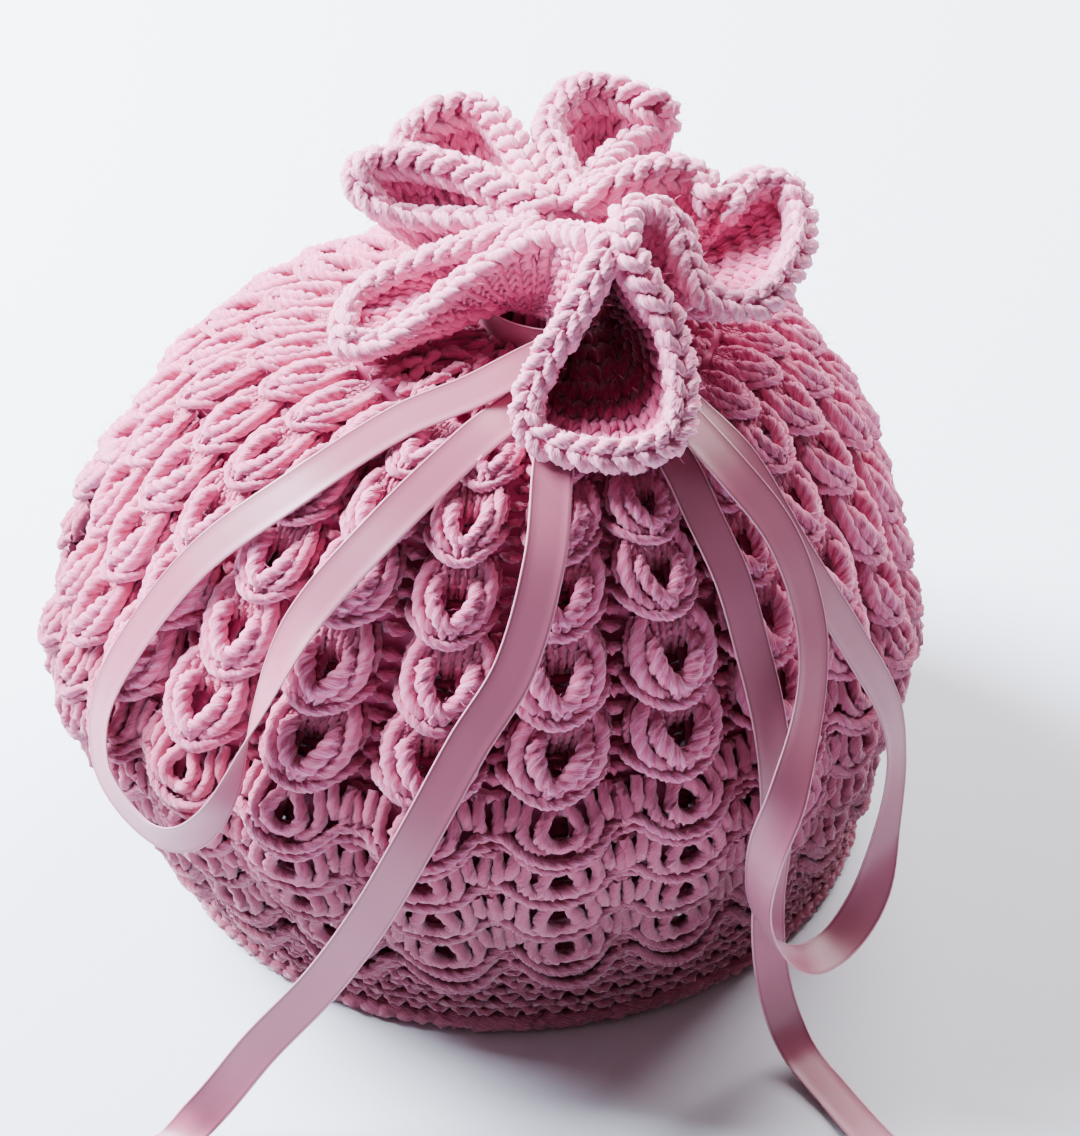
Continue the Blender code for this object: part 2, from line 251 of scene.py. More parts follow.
def edgeSpot(direction, reach, height):
    angle = math.radians(direction)
    return Vector((petals["centre"][0] + reach * math.cos(angle),
                   petals["centre"][1] + reach * math.sin(angle), height))


def frillEdge():
    spots, starts = [], {}
    for side in ("front", "back"):
        starts[side] = len(spots)
        for petal in petals[side].values():
            spots += [edgeSpot(*spot) for spot in petal]
    spots.append(spots[0])
    knots = runsOf(spots)
    return spots, knots, {side: knots[number] for side, number in starts.items()}


edgeSpots, edgeKnots, edgeStarts = frillEdge()


def frillSpot(side, share, rise):
    # rise goes from the neck, 0, to the frill's edge, 1
    total = edgeKnots[-1]
    length = edgeStarts["back"] if side == "front" else total - edgeStarts["back"]
    run = (edgeStarts[side] + share * length) % total
    tip = through(edgeSpots, edgeKnots, run, closed=True)
    neck = dome(cosy["seamTurn"] + (0.5 if side == "front" else 0.0) + share / 2, neckRun)
    leave = neck.lerp(tip, petals["leave"])
    leave.z = neck.z + petals["leaveRise"]
    cup = neck.lerp(tip, petals["cup"])
    cup.z = tip.z - max(petals["leastDrop"], petals["cupDrop"] * (tip.z - neck.z))
    back = 1 - rise
    return (neck * back**3 + leave * (3 * back**2 * rise) + cup * (3 * back * rise**2)
            + tip * rise**3)


def frillOut(side, share, rise):
    aside, upDown = 0.003, 0.02
    along = (frillSpot(side, min(share + aside, 1.0), rise)
             - frillSpot(side, max(share - aside, 0.0), rise))
    up = frillSpot(side, share, rise + upDown) - frillSpot(side, share, max(rise - upDown, 0.0))
    return along.cross(up).normalized()


def newObject(name, data, material=None):
    item = bpy.data.objects.new(name, data)
    bpy.context.scene.collection.objects.link(item)
    if material:
        data.materials.append(material)
    return item


def gridMesh(name, rows, leftOut=lambda level, number: False):
    wide = len(rows[0])
    faces = [(low, low + 1, low + wide + 1, low + wide)
             for level in range(len(rows) - 1) for number in range(wide - 1)
             for low in [level * wide + number] if not leftOut(level, number)]
    mesh = bpy.data.meshes.new(name)
    mesh.from_pydata([toWorld(spot) for row in rows for spot in row], [], faces)
    mesh.shade_smooth()
    return mesh


def guideCloth(name, shares, rises, spotAt, outAt, easeAt, shadeAt):
    # an open sheet that stitches are laid on: chart place, outward direction, motif size and
    # how much painted shade the stitches on it take
    rows = [[spotAt(share, rise) for share in shares] for rise in rises]
    mesh = gridMesh(name, rows)
    marks = [(share, rise) for rise in rises for share in shares]
    for label, kind, field, valueAt in (
            ("chart", "FLOAT_VECTOR", "vector", lambda share, rise: (share, rise, 0.0)),
            ("out", "FLOAT_VECTOR", "vector", outAt),
            ("ease", "FLOAT", "value", lambda share, rise: easeAt(rise)),
            ("shade", "FLOAT", "value", shadeAt)):
        values = mesh.attributes.new(label, kind, "POINT")
        for number, mark in enumerate(marks):
            setattr(values.data[number], field, valueAt(*mark))
    return newObject(name, mesh)


def even(start, end, count):
    return [start + (end - start) * i / count for i in range(count + 1)]


# faces of a guide cloth: across a column, and up
guideFaces = {"body": (8, 60), "frill": (24, 24)}
pleats = {"from": 185.0, "full": 196.0, "end": 220.0, "height": 2.2}


def pleatRelief(away, run):
    # soft gathers between the top motifs and the neck
    grow = min(max((run - pleats["from"]) / (pleats["full"] - pleats["from"]), 0.0), 1.0)
    fade = min(max((neckRun - run) / (neckRun - pleats["end"]), 0.0), 1.0)
    return -math.cos(2 * math.pi * away) * pleats["height"] * grow * fade


# Painted shade, laid on the guide cloths and taken up by the yarn: darker on the hem band, the low
# rows and the gathers under the flower, deeper into the petals, darkest inside the front petal.
shades = {
    "hem": (26.0, 20.0, 0.72),       # where the shade starts, where it is full, and how much
    "lowRows": (95.0, 50.0, 0.2),
    "gathers": (182.0, 205.0, 0.85),
    "petals": (0.98, 0.28, 0.76),
    "hollow": (1.00, 0.62, 1.0),     # inside the front petal
}


def shadeOf(place, value):
    start, full, most = shades[place]
    return most * min(max((value - start) / (full - start), 0.0), 1.0)


# painted shade of the body by run: a little on the rolled edge, more on the hem band, low rows and
# gathers
def bodyShade(run):
    if run < hem["rollTop"]:
        return hem["rollShade"]
    return max(shadeOf("hem", run), shadeOf("lowRows", run), shadeOf("gathers", run))


# painted shade in the petals, darkest inside the front petal
def petalShade(side, share, rise):
    start, end = petals["hollowSpan"]
    hollow = side == "front" and start < share < end
    return max(shadeOf("petals", rise), shadeOf("hollow", rise) if hollow else 0.0)


def bodyGuide(side):
    across, up = guideFaces["body"]
    return guideCloth(
        f"{side}BodyGuide", even(0, 1, perPanel * across), even(0, 1, up),
        lambda share, rise: bodySpot(side, share * perPanel, rise * neckRun,
                                     pleatRelief(share * perPanel, rise * neckRun)),
        lambda share, rise: domeOut(turnAt(side, share * perPanel, rise * neckRun),
                                    rise * neckRun),
        lambda rise: reliefShare(rise * neckRun),
        lambda share, rise: bodyShade(rise * neckRun))


def frillGuide(side):
    top = 1 + petals["beyond"]
    across, up = guideFaces["frill"]
    return guideCloth(
        f"{side}FrillGuide", even(0, 1, perPanel * across), even(0, 1, up),
        lambda share, rise: frillSpot(side, share, rise * top),
        lambda share, rise: frillOut(side, share, rise * top),
        lambda rise: 1.0,
        lambda share, rise: petalShade(side, share, rise * top))


# Wool yarn: three plies twisted together. One tree lays strands on a guide cloth and spins
# them: each vertex of the modified mesh is a place on the chart.
yarn = {
    "plies": 3,
    "plyDepth": 0.19,        # how deep the furrow between plies is, as a share of the radius
    "layLength": 10.0,       # length of a full turn of the plies
    "step": 1.4,             # length of a strand's faces
    "wander": 1.2,           # how far strands stray from the chart
    "wanderSize": 11.0,
    "swell": 0.10,           # handspun looks: the yarn swells and thins by this share
    "swellSize": 5.0,
    "swellSpan": (0.3, 0.7), # noise where the yarn is thinnest and thickest
    "deepSpan": (4.8, 0.0),  # painted shade: strands lower than this take the deep colour, as the shade of the recesses
}


def newTree(name, sockets):
    tree = bpy.data.node_groups.new(name, "GeometryNodeTree")
    for kind, labels in {"Geometry": ("Geometry",), **sockets}.items():
        for label in labels:
            tree.interface.new_socket(label, in_out="INPUT", socket_type=f"NodeSocket{kind}")
    tree.interface.new_socket("Geometry", in_out="OUTPUT", socket_type="NodeSocketGeometry")
    return tree, addNode(tree, "GroupInput", output=None)


def endTree(tree, geometry, wool):
    made = addNode(tree, "RealizeInstances", {"Geometry": geometry})
    made = addNode(tree, "SetMaterial", {"Geometry": made, "Material": wool})
    addNode(tree, "GroupOutput", {"Geometry": made}, None)
    return tree


def buildYarnTree():
    tree, given = newTree("yarnOnCloth", {
        "Object": ("Strands", "Guide"), "Material": ("Wool",), "Vector": ("Jitter",),
        "Float": ("Wander", "Wander Size", "Step", "Lay Length", "Ply Depth", "Turn",
                  "Least Yarn", "Swell", "Swell Size", "Deep From", "Deep To", "Deep Share"),
        "Int": ("Plies", "Points Per Ply", "Seed")})
    add, maths, vectors, scaled = nodeMakers(tree)

    def fromObject(item):
        return add("ObjectInfo", {"Object": item}, "Geometry", transform_space="ORIGINAL")

    def marked(label, kind="FLOAT"):
        return add("InputNamedAttribute", {"Name": label}, "Attribute", data_type=kind)

    def mark(geometry, label, value, kind="FLOAT", domain="POINT"):
        return add("StoreNamedAttribute", {"Geometry": geometry, "Name": label, "Value": value},
                   data_type=kind, domain=domain)

    # jittered places on the chart, with the strands of one motif or stitch at each
    index = add("InputIndex")
    atPlace = {"ID": index, "Seed": given["Seed"]}
    spread = add("RandomValue", {"Min": (-1, -1, -1), "Max": (1, 1, 1), **atPlace},
                 data_type="FLOAT_VECTOR")
    size = add("CombineXYZ", {"X": marked("wide"), "Y": marked("tall"), "Z": 1.0})
    offset = vectors("MULTIPLY", vectors("MULTIPLY", spread, given["Jitter"]), size)
    places = add("SetPosition", {"Geometry": given["Geometry"], "Offset": offset})
    turn = add("RandomValue", {2: maths("MULTIPLY", given["Turn"], -1.0),
                               3: given["Turn"], **atPlace}, 1, data_type="FLOAT")
    laid = add("InstanceOnPoints", {
        "Points": places, "Instance": fromObject(given["Strands"]), "Scale": size,
        "Rotation": add("CombineXYZ", {"Z": turn})})
    tone = add("RandomValue", atPlace, 1, data_type="FLOAT")
    laid = mark(laid, "tone", tone, domain="INSTANCE")
    strands = add("RealizeInstances", {"Geometry": laid})
    strands = add("ResampleCurve", {"Curve": strands}, mode="EVALUATED")

    # from the flat chart, just inside its edges, onto the guide cloth
    position = add("InputPosition")
    flat = add("SeparateXYZ", {"Vector": position}, None)
    place = add("CombineXYZ", {
        axis: add("Clamp", {"Value": flat[axis], "Min": 0.001, "Max": 0.999}) for axis in "XY"})
    guide = fromObject(given["Guide"])

    def onGuide(value, kind="FLOAT"):
        return add("SampleUVSurface", {
            "Mesh": guide, "Value": value, "UV Map": marked("chart", "FLOAT_VECTOR"),
            "Sample UV": place}, data_type=kind)

    ease = onGuide(marked("ease"))
    # painted shade: a strand takes the deep mark as it sinks towards the cloth, and where the
    # guide is marked shaded
    low = add("MapRange", {
        "Value": flat["Z"], "From Min": given["Deep From"], "From Max": given["Deep To"],
        "To Min": 0.0, "To Max": given["Deep Share"]})
    strands = mark(strands, "deep", maths("MAXIMUM", low, onGuide(marked("shade"))))
    lift = scaled(onGuide(marked("out", "FLOAT_VECTOR"), "FLOAT_VECTOR"),
                  maths("MULTIPLY", flat["Z"], ease))
    radius = add("InputRadius")
    thick = maths("MULTIPLY", radius, maths("MAXIMUM", ease, given["Least Yarn"]))
    strands = add("SetCurveRadius", {"Curve": strands, "Radius": thick})
    strands = add("SetPosition", {
        "Geometry": strands,
        "Position": vectors("ADD", onGuide(position, "FLOAT_VECTOR"), lift)})
    stray = add("TexNoise", {"Vector": position, "Scale": given["Wander Size"], "Detail": 1.0}, 1)
    stray = vectors("SUBTRACT", stray, (0.5, 0.5, 0.5))
    strands = add("SetPosition", {"Geometry": strands,
                                  "Offset": scaled(stray, given["Wander"])})

    # twist the plies and sweep them
    strands = add("ResampleCurve", {"Curve": strands, "Length": given["Step"]}, mode="LENGTH")
    lumps = add("TexNoise", {"Vector": position, "Scale": given["Swell Size"], "Detail": 1.0})
    thinnest, thickest = yarn["swellSpan"]
    lumps = add("MapRange", {"Value": lumps, "From Min": thinnest, "From Max": thickest,
                             "To Min": maths("SUBTRACT", 1.0, given["Swell"]),
                             "To Max": maths("ADD", 1.0, given["Swell"])})
    strands = add("SetCurveRadius", {"Curve": strands,
                                     "Radius": maths("MULTIPLY", radius, lumps)})
    length = add("SplineParameter", output="Length")
    twist = maths("DIVIDE", maths("MULTIPLY", length, 2 * math.pi), given["Lay Length"])
    tilt = maths("MULTIPLY_ADD", marked("tone"), 2 * math.pi, twist)
    strands = add("SetCurveTilt", {"Curve": strands, "Tilt": tilt})
    strands = mark(strands, "along", length)
    around = maths("MULTIPLY", given["Plies"], given["Points Per Ply"])
    ring = add("CurvePrimitiveCircle", {"Resolution": around, "Radius": 1.0})
    ply = maths("LESS_THAN", maths("MODULO", index, given["Points Per Ply"]), 0.5)
    ring = mark(ring, "furrow", ply)
    ring = mark(ring, "round", position, "FLOAT_VECTOR")
    inward = maths("MULTIPLY", ply, maths("MULTIPLY", given["Ply Depth"], -1.0))
    ring = add("SetPosition", {"Geometry": ring, "Offset": scaled(position, inward)})
    spun = add("CurveToMesh", {"Curve": strands, "Profile Curve": ring, "Scale": radius,
                               "Fill Caps": True})
    return endTree(tree, add("SetShadeSmooth", {"Geometry": spun}), given["Wool"])


def madeBy(tree, host, name, values):
    # the host's mesh after the tree has run, as a plain piece
    modifier = host.modifiers.new("tree", "NODES")
    modifier.node_group = tree
    for item in tree.interface.items_tree:
        if item.name in values:
            modifier[item.identifier] = values[item.name]
    evaluated = host.evaluated_get(bpy.context.evaluated_depsgraph_get())
    mesh = bpy.data.meshes.new_from_object(evaluated)
    mesh.name = name
    bpy.data.objects.remove(host)
    if not mesh.materials:
        mesh.materials.append(values["Wool"])
    mesh.calc_loop_triangles()
    print(f"{name}: {len(mesh.loop_triangles)} triangles")
    return newObject(name, mesh)


def strandUnit(name, strands, tip=0.6):
    # strands of one motif or stitch: x in hundredths of a column, y in hundredths of a row,
    # z and thickness in millimetres, with the share of the thickness where it swells or thins
    curve = bpy.data.curves.new(name, "CURVE")
    curve.dimensions = "3D"
    for thick, mirrored, path in strands.values():
        for flip in ((1, -1) if mirrored else (1,)):
            spline = curve.splines.new("BEZIER")
            spline.resolution_u = 4
            spline.bezier_points.add(len(path) - 1)
            for number, (x, y, z, *swell) in enumerate(path):
                point = spline.bezier_points[number]
                point.co = (x / 100 * flip, y / 100, z * mm)
                point.handle_left_type = point.handle_right_type = "AUTO"
                end = number in (0, len(path) - 1)
                share = swell[0] if swell else (tip if end else 1.0)
                point.radius = thick / 2 * mm * share
    return newObject(name, curve)


def placesMesh(name, places):
    # places: x, y, wide, tall
    mesh = bpy.data.meshes.new(name)
    mesh.from_pydata([(x, y, 0.0) for x, y, _, _ in places], [], [])
    for label, column in (("wide", 2), ("tall", 3)):
        values = mesh.attributes.new(label, "FLOAT", "POINT")
        for number, place in enumerate(places):
            values.data[number].value = place[column]
    return mesh


def knitPiece(name, places, unit, guide, wool, jitter, seed, step=yarn["step"],
              wander=yarn["wander"], perPly=2, deepShare=1.0, deepSpan=yarn["deepSpan"], turn=0.0):
    host = newObject(name + "Chart", placesMesh(name, places))
    return madeBy(yarnTree, host, name, {
        "Strands": unit, "Guide": guide, "Wool": wool, "Jitter": jitter, "Wander": wander * mm,
        "Wander Size": 1 / (yarn["wanderSize"] * mm), "Step": step * mm,
        "Lay Length": yarn["layLength"] * mm, "Ply Depth": yarn["plyDepth"],
        "Plies": yarn["plies"], "Points Per Ply": perPly, "Deep From": deepSpan[0] * mm,
        "Deep To": deepSpan[1] * mm, "Deep Share": deepShare, "Seed": seed, "Turn": turn,
        "Least Yarn": knit["leastYarn"], "Swell": yarn["swell"],
        "Swell Size": 1 / (yarn["swellSize"] * mm)})


# One motif of the upper rows is a bulb: a rope-like lip hangs below it, two fat arms meet in a
# V below its eyelet, flanks close it at the sides, and strands run up behind to the next lip.
# Bars fill the valleys between bulbs, and crossing strands lie behind the eyelet. Down towards
# the hem the bulbs flatten, and the lips join into one waved rope.
# Each strand has its thickness, whether it is mirrored, and its path (across, up, height).
bulb = {
    "rows": (4, 9),
    "jitter": (0.045, 0.045, 0.0008),
    "turn": 0.11,
    "front": {
        "lip": (3.3, False, ((-45, 28, -0.4, 0.7), (-40, 13, 2.6), (-28, -4, 4.8), (-15, -17, 6),
            (0, -23, 6.4), (15, -18, 6), (28, -5, 4.8), (39, 11, 2.6), (44, 25, -0.4, 0.7))),
        "arms": (4.9, False, ((-17, 64, 2.6, 0.7), (-20.5, 48, 4.8, 1.1), (-16, 25, 5.9, 1.05),
            (-7, 6, 6.4), (1, -1, 6.6), (8, 6, 6.4), (16, 22, 5.9, 1.05), (21.5, 42, 5, 1.1),
            (20, 60, 3, 0.7))),
        "tail": (3.2, True, ((5.5, 8, 6.6, 0.8), (4.5, -5, 7), (3, -18, 6.2, 0.6))),
    },
    "fill": {
        "flank": (4.4, True, ((22, 94, 2.4, 0.7), (31, 72, 3.6), (33.5, 44, 4.2, 1.08),
            (30, 18, 4.8), (20, 0, 5.2), (10, -10, 5.2, 0.7))),
        "side": (3.2, True, ((40, 34, 1.4), (40, 62, 1.4), (33, 92, 1))),
        "shoulder": (3.4, True, ((21, 46, 3), (23, 66, 3.4), (22, 98, 2.2))),
        "behind": (3.2, True, ((5, 36, 0.4), (5.5, 58, 2.2), (9, 98, 2.6))),
        "behindOuter": (3.2, True, ((12, 42, 1.8), (14, 66, 3), (16, 98, 2.6))),
        "middle": (3, False, ((0, 38, 0), (-1, 62, 2), (0, 98, 2.2))),
        # painted shade: the stop and the crossing strands lie low behind the eyelet, take the deep
        # colour and show as the shade inside it
        "stop": (7.8, False, ((0, -34, -3.2, 0.8), (0, -12, -3.1), (0, 10, -3, 0.95))),
        "crossLow": (3.8, False, ((-16, 13, -1.4), (0, 11, -1.6), (16, 13, -1.4))),
        "crossMid": (3.6, False, ((-15, 28, -1.4), (0, 26, -1.6), (15, 28, -1.4))),
        "crossHigh": (3.6, False, ((-15, 43, -1.4), (0, 41, -1.6), (15, 43, -1.4))),
        "barLow": (4.2, False, ((37, -10, -0.8), (49, -18, 0.6), (63, -15, -0.8))),
        "barMid": (4.2, False, ((38, 13, -0.9), (51, 5, 0.3), (62, 7, -0.9))),
        "barHigh": (4.2, False, ((39, 34, -0.9), (49, 30, 0.2), (61, 37, -0.9))),
        "barLast": (4.2, False, ((38, 62, -0.8), (50, 56, 0.5), (62, 58, -0.8))),
    },
}
wave = {
    "rows": (0, 4),
    "jitter": (0.035, 0.05, 0.0007),
    "turn": 0.09,
    # painted shade on the waves' low strands
    "deepSpan": (6.6, 0.6),
    "front": {
        "rope": (3.1, False, ((-51, 24, 2.4, 1), (-41, 22, 3.1), (-30, 3, 4.8), (-15, -13, 5.8),
            (0, -18, 6.1), (15, -14, 5.8), (30, 2, 4.8), (41, 21, 3.1), (51, 24, 2.4, 1))),
        "under": (2.9, False, ((-51, 5, 1.8, 1), (-40, 4, 2.4), (-28, -15, 3.8), (-14, -31, 4.7),
            (0, -36, 5), (14, -32, 4.7), (28, -16, 3.8), (40, 3, 2.4), (51, 5, 1.8, 1))),
    },
    "fill": {
        "arm": (4, True, ((-5, 3, 4.7, 0.8), (6, 7, 5.3), (14.5, 22, 5.3, 1.14), (12.5, 40, 4.4),
            (6.5, 56, 3.4), (7, 84, 2.4, 0.8))),
        "flank": (3.8, True, ((11, -4, 4.4, 0.8), (21, 7, 4.6), (27.5, 26, 4.2, 1.1),
            (26, 50, 3.2), (21, 86, 2.3, 0.8))),
        "edge": (3.7, True, ((38, 33, 2.4, 0.8), (36, 50, 3, 1.1), (33, 88, 2, 0.8))),
        "valley": (3.8, True, ((47.5, 14, 1.4, 0.8), (45, 34, 2.4, 1.1), (45.5, 60, 2),
            (48, 84, 1.4, 0.8))),
        "middle": (3.4, False, ((0, 52, 2.2, 0.8), (0, 70, 3), (0, 92, 2.2, 0.8))),
        # painted shade: the stop and the crossing strands lie low behind the eyelet, take the deep
        # colour and show as the shade inside it
        "stop": (7.8, False, ((0, -40, -3.2, 0.8), (0, -16, -3.1), (0, 8, -3, 0.95))),
        "crossLow": (3.8, False, ((-16, 12, -1.4), (0, 10, -1.6), (16, 12, -1.4))),
        "crossMid": (3.6, False, ((-15, 30, -1.4), (0, 28, -1.6), (15, 30, -1.4))),
        "crossHigh": (3.8, False, ((-17, 47, -1), (0, 46, -1.2), (17, 47, -1))),
        "crossTop": (3.8, False, ((-17, 64, -0.6), (0, 63, -0.8), (17, 64, -0.6))),
        "barLow": (3.4, False, ((38, -8, 1), (50, -10, 1.8), (62, -8, 1))),
    },
}


def rowSpan(row):
    base, following = knit["rowBases"][row:row + 2]
    return base, following - base


def motifPlaces(spans):
    return [((column + 0.5) / perPanel, base / neckRun, 1 / perPanel, pitch / neckRun)
            for base, pitch in spans for column in range(perPanel)]


def coursePlaces(runs, tall, countAt, riseAt, offset=0.5):
    # rows of stitches at these runs, so many in each
    places = []
    for run in runs:
        count = countAt(run)
        places += [((number + offset) / count, riseAt(run), 1 / count, tall)
                   for number in range(count)]
    return places


# Garter ridges of the hem, the rolled edge below them, and the small stitches of the gathers.
hem = {
    "ridges": (9.2, 14.4, 19.6, 24.6),
    "stitch": 5.4,
    "pitch": 5.6,
    "jitter": (0.08, 0.08, 0.0003),
    "strands": {
        "over": (3, False, ((-50, -15, 0.2), (-25, 22, 1.9), (0, 30, 2.3), (25, 22, 1.9),
            (50, -15, 0.2))),
        "under": (3, False, ((0, 2, 0.2), (25, -28, 1.6), (50, -34, 2), (75, -28, 1.6),
            (100, 2, 0.2))),
    },
    "rollRun": 3.4,
    "rollTop": 6.4,
    # painted shade on the rolled edge, lighter than on the hem band above it
    "rollShade": 0.45,
    "rollStitch": 4.6,
    "rollJitter": (0.04, 0.03, 0.0002),
    "roll": {
        "bead": (5.4, False, ((-85, -20, -0.6, 0.7), (-30, -12, 1.1), (30, 10, 1.4),
            (90, 22, -0.2, 0.7))),
    },
}
gathers = {
    "courses": (190.5, 195.0, 199.5, 204.0, 208.5, 213.0, 217.5),
    "stitch": 5.2,
    "pitch": 4.8,
    "jitter": (0.10, 0.10, 0.0003),
    "strands": {
        "leg": (4.2, True, ((44, 48, 2.6), (32, 16, 4), (16, -22, 4), (5, -62, 2.6))),
    },
}

# Petals: small stitches on both faces, and the thick cast-off chain on the edge.
petalKnit = {
    "courses": (0.50, 0.60, 0.695, 0.785, 0.87, 0.95),
    "innerCourses": (0.10, 0.20, 0.30, 0.40),
    "stitch": 5.4,
    "wall": 50.0,            # about how far a petal reaches from neck to edge
    "pitch": 4.9,
    "jitter": (0.05, 0.06, 0.0002),
    "strands": {
        "outerLeg": (3.3, True, ((46, 52, 0), (34, 16, 0.5), (17, -22, 0.5), (6, -60, 0))),
        "innerLeg": (3.3, True, ((46, 52, -1.6), (34, 16, -1.9), (17, -22, -1.9),
            (6, -60, -1.5))),
    },
    # painted glow: the inner faces take this share of the deep mark, which turns them the glowing
    # hot pink
    "innerDepth": 0.5,
}
castOff = {
    "link": 5.4,
    "rise": 0.99,
    "jitter": (0.05, 0.06, 0.0003),
    "strands": {
        "outer": (3.9, False, ((-75, 34, -1, 0.5), (-36, 30, 0.2, 0.95), (5, 8, 1.3, 1.1),
            (45, -36, 1.7, 0.95), (80, -85, 0.9, 0.5))),
        "inner": (3.9, False, ((-75, 34, -1.2, 0.5), (-36, 30, -2.4, 0.95), (5, 8, -3.5, 1.1),
            (45, -36, -3.9, 0.95), (80, -85, -3.1, 0.5))),
        "innerBelow": (3.7, False, ((-75, -145, -2.2, 0.5), (-36, -120, -3.1, 0.95),
            (5, -95, -3.5, 1.08), (45, -70, -3.3, 0.95), (80, -55, -2.3, 0.5))),
    },
}


woolLook = {
    "fibreLength": 2.6,      # the noise of the fibres: how long they lie along the strand,
    "fibreScale": 3.2,       # and how fine round it
    "fibreApart": 40.0,      # every motif has its own place in that noise
    "fibreSpan": (0.62, 0.30),
    "patchSize": 16.0,       # broad patches of tone
    "patchShare": 0.5,
    "furrowPower": 1.6,      # painted shade between the plies: the deep colour in the furrows
    "furrowShare": 0.85,
    # by the deep mark: first the painted glow of light passed between stitches, then painted shade
    "paintedGlowSpan": (0.0, 0.55),
    "paintedShadeSpan": (0.5, 1.0),
    "bumpHeight": 0.7,
    "lowerShadeSpan": (112.0, 42.0),       # painted shade: the wool darkens from this height down to the hem
    "lowerShadeShare": 0.88,
    "lowerShadeColour": "#884859",
}


def newMaterial(name):
    material = bpy.data.materials.new(name)
    material.use_nodes = True
    material.node_tree.nodes.clear()
    return material, material.node_tree


def woolMaterial(name, light, deep, paintedGlow, paintedShadeColour):
    # Plied wool, hand-knitted: matt, with a soft halo of fibres that catches the light at
    # grazing angles. Painted shade deepens the colour between the plies, a painted glow stands
    # for light passed from stitch to stitch, painted shade darkens it where it sinks in, and
    # painted shade darkens it towards the hem.
    material, tree = newMaterial(name)
    add, maths, vectors, _ = nodeMakers(tree)
    where = add("TexCoord", output="Object")

    def mixed(factor, first, colour):
        return add("Mix", {"Factor": factor, 6: first, 7: (*srgb(colour), 1)}, 2,
                   data_type="RGBA")

    def share(value, most):
        return maths("MULTIPLY", value, most)

    def ranged(value, start, end):
        return add("MapRange", {"Value": value, "From Min": start, "From Max": end})

    def marked(label, output="Fac"):
        return add("Attribute", output=output, attribute_name=label)

    # noise drawn out along the strand and fine round it follows the plies as they twist
    length = woolLook["fibreLength"] * mm
    onStrand = add("CombineXYZ", {"Z": share(marked("along"), 1 / length)})
    roundIt = vectors("MULTIPLY_ADD", marked("round", "Vector"),
                      (woolLook["fibreScale"],) * 3, onStrand)
    apart = add("CombineXYZ", {"X": share(marked("tone"), woolLook["fibreApart"])})
    fibres = add("TexNoise", {"Vector": vectors("ADD", apart, roundIt), "Scale": 1.0,
                              "Detail": 3.0, "Roughness": 0.65})
    patches = add("TexNoise", {"Vector": where, "Scale": 1 / (woolLook["patchSize"] * mm),
                               "Detail": 2.0})
    base = mixed(share(patches, woolLook["patchShare"]), (*srgb(light), 1), deep)
    base = mixed(ranged(fibres, *woolLook["fibreSpan"]), base, deep)
    # painted shade between the plies
    furrow = maths("POWER", marked("furrow"), woolLook["furrowPower"])
    base = mixed(share(furrow, woolLook["furrowShare"]), base, deep)
    # painted glow and painted shade, by the deep mark
    base = mixed(ranged(marked("deep"), *woolLook["paintedGlowSpan"]), base, paintedGlow)
    base = mixed(ranged(marked("deep"), *woolLook["paintedShadeSpan"]), base, paintedShadeColour)
    # painted shade: darker towards the hem
    height = add("SeparateXYZ", {"Vector": where}, "Z")
    lowerShaded = ranged(height, *(level * mm for level in woolLook["lowerShadeSpan"]))
    base = mixed(share(lowerShaded, woolLook["lowerShadeShare"]), base, woolLook["lowerShadeColour"])
    bump = add("Bump", {"Height": fibres, "Strength": 0.8,
                        "Distance": woolLook["bumpHeight"] * mm})
    shader = add("BsdfPrincipled", {
        "Base Color": base, "Roughness": 0.95, "Specular IOR Level": 0.1, "Sheen Weight": 0.5,
        "Sheen Roughness": 0.4, "Sheen Tint": (1.0, 0.80, 0.90, 1.0), "Normal": bump})
    add("OutputMaterial", {"Surface": shader}, None)
    return material


satinLook = {
    # distance from the ribbon's middle as a share of its width, and colour
    "stops": ((0.0, "#a25a71"), (0.40, "#a25a71"), (0.43, "#854258"), (0.455, "#8d4a60"),
              (0.47, "#b8798e"), (0.5, "#c0879a")),
    "threads": 60.0,
    "threadHeight": 0.1,
}


def satinMaterial():
    # Polyester satin ribbon: smooth float threads with a soft lengthwise sheen, and a
    # fine woven edge, lighter than the face, with a darker line just inside it.
    material, tree = newMaterial("wovenSatin")
    add, maths, _, _ = nodeMakers(tree)
    chart = add("UVMap", uv_map="ribbon")
    across = add("SeparateXYZ", {"Vector": chart}, "X")
    fromMiddle = maths("ABSOLUTE", maths("SUBTRACT", across, 0.5))
    edges = add("ValToRGB", {"Fac": fromMiddle})
    ramp = edges.node.color_ramp
    while len(ramp.elements) < len(satinLook["stops"]):
        ramp.elements.new(0.5)
    for element, (place, colour) in zip(ramp.elements, satinLook["stops"]):
        element.position = place
        element.color = (*srgb(colour), 1)
    threads = add("TexWave", {"Vector": chart, "Scale": satinLook["threads"],
                              "Distortion": 0.6, "Detail": 1.0}, "Fac", bands_direction="X")
    bump = add("Bump", {"Height": threads, "Strength": 0.08,
                        "Distance": satinLook["threadHeight"] * mm})
    shader = add("BsdfPrincipled", {
        "Base Color": edges, "Roughness": 0.38, "Specular IOR Level": 0.5, "Anisotropic": 0.5,
        "Sheen Weight": 0.25, "Sheen Roughness": 0.3, "Sheen Tint": (1.0, 0.9, 0.93, 1.0),
        "Normal": bump})
    add("OutputMaterial", {"Surface": shader}, None)
    return material


yarnTree = buildYarnTree()
# Each wool: its own colour, a darker tone, a painted glow colour and a painted shade colour.
pinkWool = woolMaterial("pliedPinkWool", "#f4a3cd", "#cf5680", "#d87094", "#ae466a")
